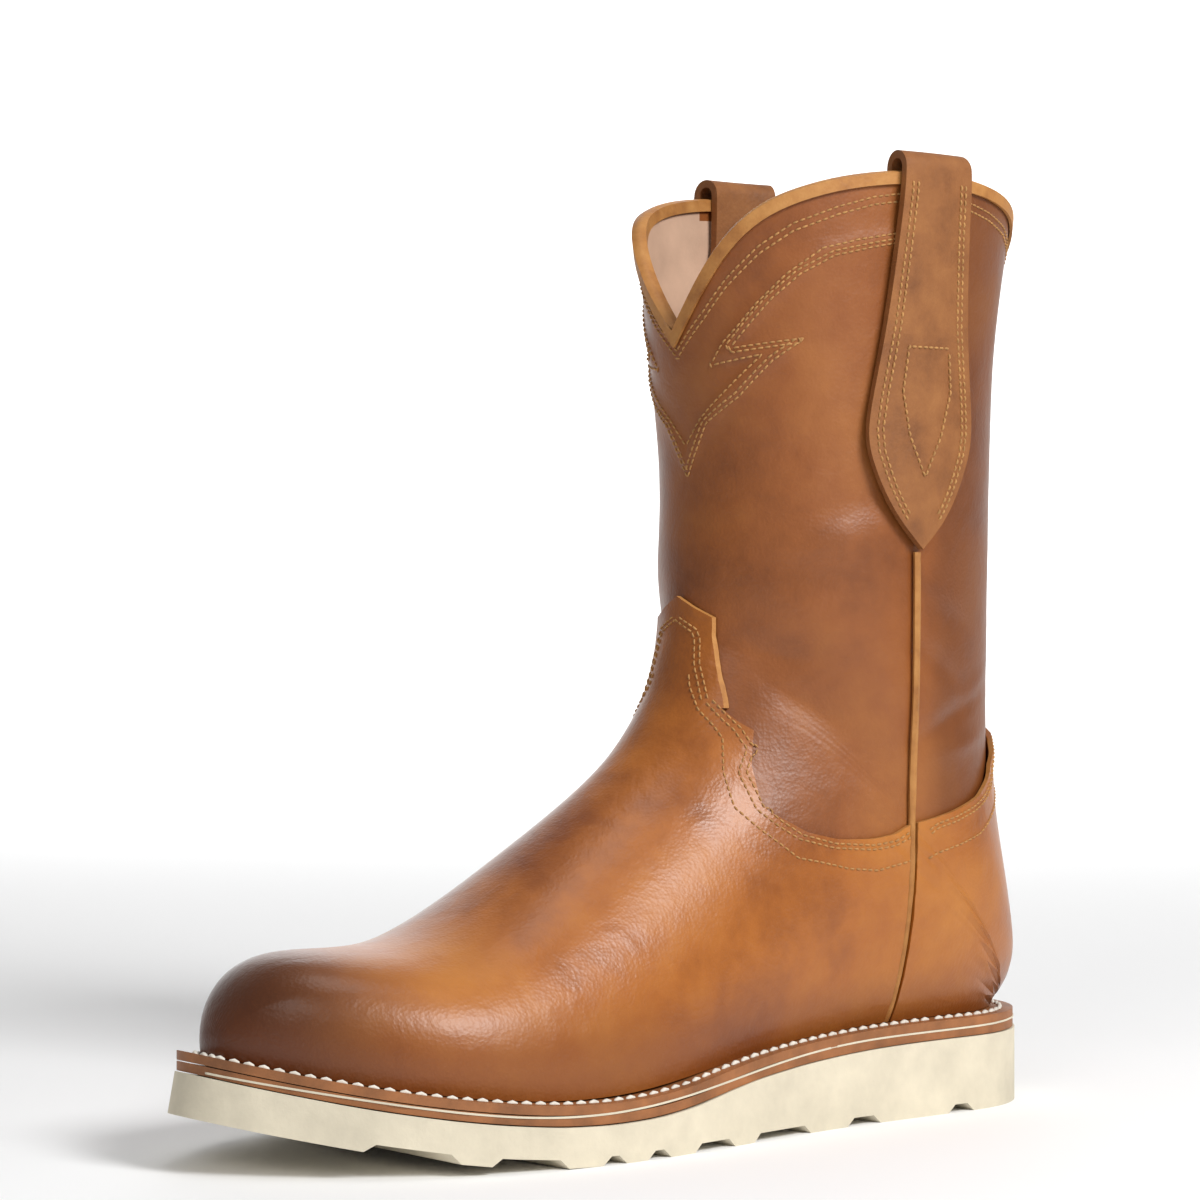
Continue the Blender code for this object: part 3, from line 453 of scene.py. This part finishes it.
@dataclass
class Thread:
    """One kind of stitching: its pitch, stitch length and thread size in metres."""

    name: str
    finish: bpy.types.Material
    slot: str
    pitch: float = 0.0023
    stitch: float = 0.0019
    radius: float = 0.00034
    rise: float = 0.00012

    def __post_init__(self) -> None:
        self.vertices: list[Vector] = []
        self.faces: list[tuple[int, ...]] = []
        self.count = 0

    def along(self, hits: list[tuple[Vector, Vector] | None]) -> None:
        """Lay stitches along a run of surface points, breaking it where a point is missing."""
        run: list[tuple[Vector, Vector]] = []
        for hit in [*hits, None]:
            jump = bool(run) and hit is not None and (hit[0] - run[-1][0]).length > 0.012
            if hit is None or jump:
                self._run(run)
                run = []
            if hit is not None:
                run.append(hit)

    def _run(self, run: list[tuple[Vector, Vector]]) -> None:
        """Lay stitches at the pitch along one unbroken run."""
        if len(run) < 3:
            return
        rows = [(*point, *normal) for point, normal in run]
        line = np.array(rows, float)
        gaps = np.linalg.norm(np.diff(line[:, :3], axis=0), axis=1)
        along = np.concatenate([[0], np.cumsum(gaps)])
        count = int(along[-1] / self.pitch)
        for number in range(count):
            middle = (number + 0.5) * self.pitch
            ends = (middle - self.stitch / 2, middle, middle + self.stitch / 2)
            at = [[float(np.interp(e, along, line[:, i])) for i in range(6)] for e in ends]
            tangent = Vector(at[2][:3]) - Vector(at[0][:3])
            if tangent.length > self.stitch * 0.3:
                self._stitch(Vector(at[1][:3]), tangent.normalized(), Vector(at[1][3:]))

    def _stitch(self, centre: Vector, tangent: Vector, normal: Vector) -> None:
        """Add one plump stitch that dips into the surface at both ends."""
        side = tangent.cross(normal).normalized()
        up = side.cross(tangent).normalized()
        start = len(self.vertices)
        for share, size in ((-1, 0.25), (-0.72, 0.85), (0, 1.0), (0.72, 0.85), (1, 0.25)):
            lift = self.rise + self.radius * 0.2 - self.radius * 0.9 * share * share
            middle = centre + tangent * (self.stitch / 2 * share) + up * lift
            for turn in range(6):
                angle = turn * math.pi / 3
                ring = side * math.cos(angle) + up * math.sin(angle)
                self.vertices.append(middle + ring * self.radius * size)
        for ring in range(4):
            for turn in range(6):
                a, b = start + ring * 6 + turn, start + ring * 6 + (turn + 1) % 6
                self.faces.append((a, b, b + 6, a + 6))
        self.faces.append(tuple(start + i for i in range(5, -1, -1)))
        self.faces.append(tuple(start + 24 + i for i in range(6)))
        self.count += 1

    def build(self) -> bpy.types.Object:
        """Join the stitches as one piece that rides on the boot.

        Returns:
            The new object.
        """
        mesh = bpy.data.meshes.new(self.name)
        mesh.from_pydata([tuple(v) for v in self.vertices], [], self.faces)
        mesh.materials.append(self.finish)
        mesh.shade_smooth()
        piece = bpy.data.objects.new(self.name, mesh)
        bpy.context.scene.collection.objects.link(piece)
        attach(piece, "root")
        LOG.info("%s: %d stitches", self.name, self.count)
        return piece


@dataclass
class Copied:
    """A dressed copy of one CAD node, welded, rounded and smoothly shaded."""

    node: str
    finish: bpy.types.Material
    slot: str
    corner: float = 32.0
    rounding: int = 2
    inside: bpy.types.Material | None = None
    rim: bpy.types.Material | None = None
    relief: tuple[Fold | Padding, ...] = ()
    ease_heel: bool = False

    def build(self) -> bpy.types.Object:
        """Copy the node's mesh and dress it.

        Returns:
            The new object, which stands for the node.
        """
        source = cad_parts[self.node]
        mesh = bpy.data.meshes.new(self.node + "_dressed")
        shape = bmesh.new()
        shape.from_mesh(source.data)
        bmesh.ops.remove_doubles(shape, verts=shape.verts, dist=2e-6)
        limit = math.radians(self.corner)
        bmesh.ops.join_triangles(
            shape,
            faces=shape.faces,
            angle_face_threshold=limit * 0.6,
            angle_shape_threshold=math.radians(60),
        )
        crease = shape.edges.layers.float.new("crease_edge")
        for edge in shape.edges:
            sharp = len(edge.link_faces) != 2 or edge.calc_face_angle(0.0) > limit
            edge.smooth = not sharp
            edge[crease] = 1.0 if sharp else 0.0
        for face in shape.faces:
            face.smooth = True
        shape.to_mesh(mesh)
        shape.free()
        mesh.materials.clear()
        mesh.materials.append(self.finish)
        piece = bpy.data.objects.new(self.node + "_dressed", mesh)
        bpy.context.scene.collection.objects.link(piece)
        if self.inside:
            self._line(mesh)
        if self.rim:
            self._rim(mesh)
        if self.rounding:
            modifier = piece.modifiers.new("rounding", "SUBSURF")
            modifier.levels = self.rounding
            modifier.render_levels = self.rounding
            modifier.use_limit_surface = False
            self._bake(piece)
        if self.ease_heel:
            self._ease(piece.data)
        if self.relief:
            self._refine(piece.data)
            self._press(piece.data)
        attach(piece, "root")
        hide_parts(self.node)
        LOG.info("%s: %d faces", piece.name, len(mesh.polygons))
        return piece

    @staticmethod
    def _bake(piece: bpy.types.Object) -> None:
        """Keep the rounded mesh in place of the modifier."""
        graph = bpy.context.evaluated_depsgraph_get()
        rounded = bpy.data.meshes.new_from_object(piece.evaluated_get(graph))
        piece.modifiers.clear()
        piece.data = rounded

    @staticmethod
    def _refine(mesh: bpy.types.Mesh) -> None:
        """Halve the faces on the outside of the shaft, where the relief needs them."""
        shape = bmesh.new()
        shape.from_mesh(mesh)
        chosen = set()
        for face in shape.faces:
            middle = face.calc_center_median()
            outward = (middle - PLACE.centre(middle.z)).xy.dot(face.normal.xy) > 0
            if middle.z > 0.09 and outward:
                chosen.update(face.edges)
        bmesh.ops.subdivide_edges(shape, edges=list(chosen), cuts=1, use_grid_fill=True)
        shape.to_mesh(mesh)
        shape.free()

    @staticmethod
    def _ease(mesh: bpy.types.Mesh) -> None:
        """Smooth and fill out the back of the heel just above the welt."""
        shape = bmesh.new()
        shape.from_mesh(mesh)
        pole = Vector((-PLACE.middle_x, 0.1465, 0.036))
        near = [
            v
            for v in shape.verts
            if (v.co - pole).length < 0.030 and all(e.smooth for e in v.link_edges)
        ]
        for _ in range(14):
            bmesh.ops.smooth_vert(
                shape, verts=near, factor=0.5, use_axis_x=True, use_axis_y=True, use_axis_z=True
            )
        for vertex in near:
            gap = vertex.co - pole
            size = (gap.x / 0.026) ** 2 + (gap.y / 0.022) ** 2 + ((gap.z - 0.004) / 0.011) ** 2
            away = (vertex.co - PLACE.centre(vertex.co.z)).xy.normalized()
            step = away * 0.0012 * math.exp(-size)
            vertex.co += Vector((step.x, step.y, 0))
        shape.to_mesh(mesh)
        shape.free()

    def _press(self, mesh: bpy.types.Mesh) -> None:
        """Move the shaft's wall in and out by the relief."""
        for vertex in mesh.vertices:
            point = vertex.co
            if point.z < 0.085:
                continue
            away = (point - PLACE.centre(point.z)).xy
            turn = math.degrees(math.atan2(away.x, -away.y))
            push = sum(item.push(turn, point.z) for item in self.relief)
            low = min(max((point.z - 0.085) / 0.015, 0.0), 1.0)
            high = min(max((PLACE.collar(turn) - 0.006 - point.z) / 0.006, 0.0), 1.0)
            step = away.normalized() * push * low * high
            vertex.co = point + Vector((step.x, step.y, 0))

    def _rim(self, mesh: bpy.types.Mesh) -> None:
        """Give the cut-edge finish to the overlay's narrow rim faces."""
        mesh.materials.append(self.rim)
        for face in mesh.polygons:
            corners = [mesh.vertices[i].co for i in face.vertices]
            sides = [(a - b).length for a, b in zip(corners, corners[1:] + corners[:1])]
            along = max(sides)
            flat = face.area / along if along > 0 else 0.0
            outward = (face.center - PLACE.centre(face.center.z)).xy
            sideways = abs(outward.normalized().dot(face.normal.xy))
            if flat < 0.0017 and sideways < 0.6 and face.center.z > 0.080:
                face.material_index = 1

    def _line(self, mesh: bpy.types.Mesh) -> None:
        """Give the lining to the faces that look at the boot's own inside."""
        mesh.materials.append(self.inside)
        places = [v.co for v in mesh.vertices]
        tree = BVHTree.FromPolygons(places, [tuple(p.vertices) for p in mesh.polygons])
        for face in mesh.polygons:
            start = face.center + face.normal * 1e-4
            hit, _, _, distance = tree.ray_cast(start, face.normal)
            centre = PLACE.centre(face.center.z)
            inward = (centre - face.center).xy.dot(face.normal.xy) > 0
            shaft = face.center.z > 0.14
            if hit is not None and distance > 0.008 and (inward or not shaft):
                face.material_index = 1


# Sub-assemblies
class Upper:
    """The shaft, vamp, counter and their seams."""

    # Lines as (turn in degrees, height in millimetres), given for the outer half.
    bolt_upper = [
        (90, 282), (79, 281), (61, 278), (49, 275), (38, 267), (29, 258), (23, 251),
        (18, 246), (13, 239), (30, 242), (19, 232), (7, 222), (0, 214),
    ]
    bolt_lower = [
        (90, 278), (79, 278), (67, 276), (53, 273), (42, 267), (33, 259), (26, 251),
        (20, 244), (43, 247), (33, 240), (22, 229), (10, 221), (4, 211), (0, 204),
    ]
    vamp_edge = [
        (16, 134), (20, 130), (25, 125), (29, 119), (28, 112), (33, 101), (38, 96),
        (43, 92), (53, 89), (68, 88), (78, 89), (86, 92),
    ]
    vamp_second = [
        (8, 142), (9, 138), (13, 131), (18, 126), (21, 122), (23, 112), (27, 101),
        (33, 94), (42, 85), (58, 81), (70, 80), (88, 83),
    ]
    tongue = [(15, 134), (11, 145), (10, 153), (8.5, 156), (0, 160.5)]
    counter_edge = [
        (94, 92), (98, 94), (108, 96), (121, 99), (133, 103), (141, 108), (150, 115),
        (160, 120), (180, 123),
    ]
    counter_second = [(94, 83), (100, 85), (110, 87), (123, 90), (140, 97), (158, 105), (180, 108)]

    band = (
        (90, 280), (61, 277), (50, 274), (40, 267), (31, 258.5), (24, 251), (19, 245),
        (18, 242.5), (36, 243.5), (26, 236), (15, 226.5), (6, 217), (0, 209),
    )

    def __init__(self, finishes: dict[str, bpy.types.Material]) -> None:
        self.finishes = finishes

    def build(self) -> None:
        """Build the copied pieces and sew them."""
        finishes = self.finishes
        relief = (*SHAFT_FOLDS, Padding(self.band))
        shaft = Copied("upper", finishes["shaft"], "upper_leather", 40, 2)
        shaft.inside = finishes["lining"]
        shaft.relief = relief
        shaft.ease_heel = True
        self.shaft = shaft.build()
        self.overlays = []
        for node in ("vamp", "counter"):
            overlay = Copied(node, finishes["vamp"], "vamp_leather", 40)
            overlay.rim = finishes["edge"]
            overlay.ease_heel = node == "counter"
            self.overlays.append(overlay.build())
        Copied("collar_binding", finishes["edge"], "edge_leather", 50).build()
        for name in ("side_piping_outer", "side_piping_inner"):
            Copied(name, finishes["edge"], "edge_leather", 60).build()
        self._sew()

    def _sew(self) -> None:
        """Sew the overlay edges, the shaft's bolt pattern and the collar."""
        shell = Skin(self.shaft, *self.overlays)
        seams = Thread("seam_stitches", self.finishes["thread"], "edge_leather")
        rows = [
            self.bolt_upper, self.bolt_lower, self.vamp_edge, self.vamp_second,
            self.tongue, self.counter_edge, self.counter_second,
            beside_row(self.bolt_lower, 1.3),
            beside_row(self.vamp_edge, 1.4),
            beside_row(self.tongue, -1.4),
            beside_row(self.counter_edge, 1.4),
        ]
        for side in Side:
            for row in rows:
                seams.along(self._trace(shell, row, side))
        seams.build()
        collar = Thread("collar_stitches", self.finishes["thread"], "edge_leather")
        for drop in (0.0062, 0.0086):
            turns = np.arange(-180, 180.1, 0.8)
            hits = [shell.turned(t, PLACE.collar(t) - drop) for t in turns]
            collar.along(hits)
        collar.build()

    @staticmethod
    def _trace(shell: Skin, row: list[tuple[float, float]], side: Side) -> list:
        """Return the surface points along a row on one side.

        Args:
            shell: the surface to sew on.
            row: the row's corners, as turn and height.
            side: the side of the boot.

        Returns:
            The points and normals, None where there is no surface.
        """
        return [
            shell.turned(side.value * turn, height * MM) for turn, height in evenly(row, 0.8)
        ]


class Straps:
    """The two pull straps and their double stitching."""

    width: float = 0.0268
    pad: float = 0.0420
    length: float = 0.1258
    top: float = 0.3070
    outline = [
        (0.0, 1.0), (0.11, 1.04), (0.21, 1.12), (0.44, 1.4), (0.62, 1.86), (0.7, 2.0),
        (0.755, 1.88), (0.8, 1.59), (0.842, 1.29), (0.892, 0.82), (0.936, 0.28),
    ]

    def __init__(self, finishes: dict[str, bpy.types.Material]) -> None:
        self.finishes = finishes

    def half_width(self, drop: float) -> float:
        """Return the strap's half width at a drop below the top of its loop."""
        shares = np.array(self.outline)
        share = float(np.interp(drop / self.length, shares[:, 0], shares[:, 1]))
        return self.width / 2 + (share - 1) * (self.pad - self.width) / 2

    def build(self) -> None:
        """Build both straps and their stitches."""
        sewn = Thread("strap_stitches", self.finishes["thread"], "edge_leather", radius=0.00042)
        for side, node in ((Side.OUTER, "pull_strap_outer"), (Side.INNER, "pull_strap_inner")):
            Copied(node, self.finishes["strap"], "strap_leather", 45).build()
            skin = Skin(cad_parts[node])
            for inset in (0.0024, 0.0044):
                for edge in (-1, 1):
                    sewn.along(self._edge(skin, side, inset, edge))
            sewn.along(self._shield(skin, side))
        sewn.build()

    def _edge(self, skin: Skin, side: Side, inset: float, edge: int) -> list:
        """Return the points of a row inside one edge of a strap."""
        hits = []
        for drop in np.arange(0.010, self.length * 0.955 - inset, 0.001):
            half = self.half_width(drop) - inset
            hits.append(skin.beside(side, self._middle(drop) + edge * max(half, 0), self.top - drop))
        return hits

    def _shield(self, skin: Skin, side: Side) -> list:
        """Return the points of the stitched shield on a strap's pad."""
        corners = [
            (-0.0085, 0.062), (0.0085, 0.062), (0.0100, 0.076), (0.0065, 0.090),
            (0.0, 0.103), (-0.0065, 0.090), (-0.0100, 0.076), (-0.0085, 0.062),
        ]
        return [
            skin.beside(side, self._middle(drop) + across, self.top - drop)
            for across, drop in evenly(corners, 0.0008)
        ]

    @staticmethod
    def _middle(drop: float) -> float:
        """Return how far in front of the heel the strap's middle is at a drop."""
        lean = min(max((0.307 - drop - 0.172) / 0.1278, 0), 1)
        return 0.0730 - 0.0042 * lean


class Sole:
    """The outsole, midsole, welt and insole, and the welt's heavy stitching."""

    line_profile = ((0.0005, 0.0003), (0.0005, -0.0003), (0.003, -0.0001), (0.003, 0.0001))

    def __init__(self, finishes: dict[str, bpy.types.Material]) -> None:
        self.finishes = finishes

    def build(self) -> None:
        """Build the sole's pieces and sew the welt."""
        Copied("outsole", self.finishes["cream"], "sole_rubber", 30).build()
        Copied("midsole", self.finishes["welt"], "welt_leather", 40).build()
        Copied("welt", self.finishes["welt"], "welt_leather", 40).build()
        Copied("insole", self.finishes["footbed"], "footbed_leather", 40).build()
        heavy = Thread(
            "welt_stitches", self.finishes["welt_thread"], "edge_leather", 0.0046, 0.0039, 0.0008
        )
        heavy.along(self._welt_line(0.0044))
        heavy.build()
        self._pale_line()

    @staticmethod
    def _edge() -> list[Vector]:
        """Return points round the welt's outer edge."""
        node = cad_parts["welt"]
        skin = Skin(node)
        corners = np.array([v.co for v in node.data.vertices], float)
        heel, toe = 0.156 - 0.055, 0.156 - 0.245
        spokes = [(0.0, heel, math.radians(a)) for a in range(0, 181, 3)]
        spokes += [(0.0, y, math.pi) for y in np.arange(heel, toe, -0.003)]
        spokes += [(-0.003, toe, math.radians(a)) for a in range(180, 361, 3)]
        spokes += [(0.0, y, 0.0) for y in np.arange(toe, heel, 0.003)]
        edge = []
        for x, y, angle in spokes:
            outward = Vector((math.cos(angle), math.sin(angle), 0))
            guess = Vector((x, y, 0)) + outward * 0.055
            near = np.argsort(np.abs(corners[:, 1] - guess.y))[:24]
            low, high = corners[near, 2].min(), corners[near, 2].max()
            level = float(low + (high - low) * 0.5)
            hit = skin.cast(Vector((x, y, level)) + outward * 0.2, -outward)
            if hit:
                edge.append(hit[0])
        return edge

    def _pale_line(self) -> None:
        """Run a thin pale line round the sole's edge between the welt and the midsole."""
        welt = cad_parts["welt"]
        corners = np.array([v.co for v in welt.data.vertices], float)
        edge = self._edge()
        under = []
        for place in np.linspace(corners[:, 1].min(), corners[:, 1].max(), 40):
            near = corners[np.abs(corners[:, 1] - place) < 0.009]
            if len(near):
                under.append((place, near[:, 2].min()))
        levels = np.polynomial.Polynomial.fit(*np.array(under).T, 7)
        heights = [float(levels(point.y)) for point in edge]
        ring = []
        for index, point in enumerate(edge):
            ahead = edge[(index + 1) % len(edge)] - edge[index - 1]
            inward = Vector((-ahead.y, ahead.x, 0)).normalized()
            if inward.dot(Vector((0, 0.006, 0)) - point) < 0:
                inward = -inward
            ring.append((point, inward, float(heights[index]) - 0.00015))
        vertices, faces = [], []
        for point, inward, level in ring:
            for depth, rise in self.line_profile:
                place = point + inward * (depth - 0.0006)
                vertices.append((place.x, place.y, level + rise))
        for index in range(len(ring)):
            a, b = index * 4, (index + 1) % len(ring) * 4
            for k in range(4):
                faces.append((a + k, b + k, b + (k + 1) % 4, a + (k + 1) % 4))
        mesh = bpy.data.meshes.new("welt_pale_line")
        mesh.from_pydata(vertices, [], faces)
        mesh.materials.append(self.finishes["cream"])
        piece = bpy.data.objects.new("welt_pale_line", mesh)
        bpy.context.scene.collection.objects.link(piece)
        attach(piece, "root")
        LOG.info("welt_pale_line: %d faces", len(faces))

    def _welt_line(self, inset: float) -> list:
        """Return points on the welt's upper face, a distance in from its edge."""
        skin = Skin(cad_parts["welt"])
        edge = self._edge()
        edge.append(edge[0])
        hits = []
        for index, point in enumerate(edge[:-1]):
            ahead = edge[(index + 1) % (len(edge) - 1)] - edge[index - 1 if index else -2]
            inward = Vector((-ahead.y, ahead.x, 0)).normalized()
            above = point + inward * inset + Vector((0, 0, 0.002))
            if inward.dot(Vector((0, 0.006, 0)) - point) < 0:
                above = point - inward * inset + Vector((0, 0, 0.002))
            hits.append(skin.cast(above + Vector((0, 0, 0.01)), Vector((0, 0, -1))))
        hits.append(hits[0])
        return hits


class Studio:
    """The plain floor, the soft lights and the camera."""

    lens: float = 104.29
    azimuth: float = 53.43

    def build(self) -> None:
        """Build the floor, the lights, the world and the camera."""
        self._floor()
        self._lights()
        self._camera()

    def _floor(self) -> None:
        """Lay a pale floor that curves up into a wall behind the boot."""
        angle = math.radians(self.azimuth)
        ahead = Vector((-math.sin(angle), math.cos(angle), 0))
        aside = Vector((ahead.y, -ahead.x, 0))
        profile = [(-12.0, 0.0), (2.2, 0.0)]
        for step in range(1, 17):
            bend = step / 16 * math.pi / 2
            profile.append((2.2 + 2.0 * math.sin(bend), 2.0 * (1 - math.cos(bend))))
        profile.append((4.2, 7.0))
        places, faces = [], []
        for away, rise in profile:
            for half in (-12, 12):
                places.append(tuple(ahead * away + aside * half + Vector((0, 0, rise))))
        for step in range(len(profile) - 1):
            first = step * 2
            faces.append((first, first + 1, first + 3, first + 2))
        mesh = bpy.data.meshes.new("floor")
        mesh.from_pydata(places, [], faces)
        mesh.shade_smooth()
        floor = bpy.data.objects.new("floor", mesh)
        bpy.context.scene.collection.objects.link(floor)
        material, _, _, shader = new_material("floor_paper")
        shader.inputs["Base Color"].default_value = (0.92, 0.92, 0.92, 1)
        shader.inputs["Roughness"].default_value = 0.9
        mesh.materials.append(material)

    def _lights(self) -> None:
        """Place three large soft lights and a pale world."""
        target = Vector((0, 0, 0.13))
        wall = Vector((-3.4, 2.5, 1.4))
        lamps = (
            ("key", (1.35, 0.20, 1.15), 26, 0.6, target),
            ("toe", (1.0, -1.5, 1.2), 4, 0.6, target),
            ("top", (0.1, 0.0, 1.9), 5, 0.8, target),
            ("paper", (-1.6, 1.2, 2.8), 120, 2.0, wall),
        )
        for name, place, power, size, aim in lamps:
            data = bpy.data.lights.new(name, "AREA")
            data.energy = power
            data.size = size
            lamp = bpy.data.objects.new(name, data)
            lamp.location = place
            lamp.rotation_euler = (aim - lamp.location).to_track_quat("-Z", "Y").to_euler()
            bpy.context.scene.collection.objects.link(lamp)
        world = bpy.data.worlds.new("studio")
        world.use_nodes = True
        background = world.node_tree.nodes["Background"]
        background.inputs["Color"].default_value = (1, 1, 1, 1)
        background.inputs["Strength"].default_value = 0.26
        bpy.context.scene.world = world
        bpy.context.scene.view_settings.view_transform = "Standard"

    def _camera(self) -> None:
        """Place the camera at the photograph's angle to the boot."""
        data = bpy.data.cameras.new("photo_view")
        data.lens = self.lens
        data.sensor_width = 36
        data.shift_y = 0.0017
        data.clip_end = 100
        camera = bpy.data.objects.new("photo_view", data)
        camera.location = (0.872 - PLACE.middle_x, 0.156 - 0.8094, 0.1645)
        angle = math.radians(self.azimuth)
        ahead = Vector((-math.sin(angle), math.cos(angle), 0))
        camera.rotation_euler = ahead.to_track_quat("-Z", "Y").to_euler()
        bpy.context.scene.collection.objects.link(camera)
        bpy.context.scene.camera = camera


def main() -> None:
    """Build the dressed boot, report each piece and finish the scene."""
    logging.basicConfig(level=logging.INFO, format="%(message)s")
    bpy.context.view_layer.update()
    finishes = {
        "shaft": SHAFT_LEATHER.build(),
        "vamp": VAMP_LEATHER.build(),
        "strap": STRAP_LEATHER.build(),
        "edge": EDGE_LEATHER.build(),
        "welt": WELT_LEATHER.build(),
        "lining": LINING.build(),
        "footbed": FOOTBED.build(),
        "cream": CREAM.build(),
        "thread": THREAD.build(),
        "welt_thread": WELT_THREAD.build(),
    }
    Sole(finishes).build()
    Upper(finishes).build()
    Straps(finishes).build()
    Studio().build()


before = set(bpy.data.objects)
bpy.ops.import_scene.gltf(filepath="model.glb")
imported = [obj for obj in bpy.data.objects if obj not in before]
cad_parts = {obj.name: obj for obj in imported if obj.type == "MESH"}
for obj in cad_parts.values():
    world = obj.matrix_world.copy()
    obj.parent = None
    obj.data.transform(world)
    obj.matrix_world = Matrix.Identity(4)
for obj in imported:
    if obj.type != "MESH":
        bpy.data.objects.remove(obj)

if __name__ == "__main__":
    main()
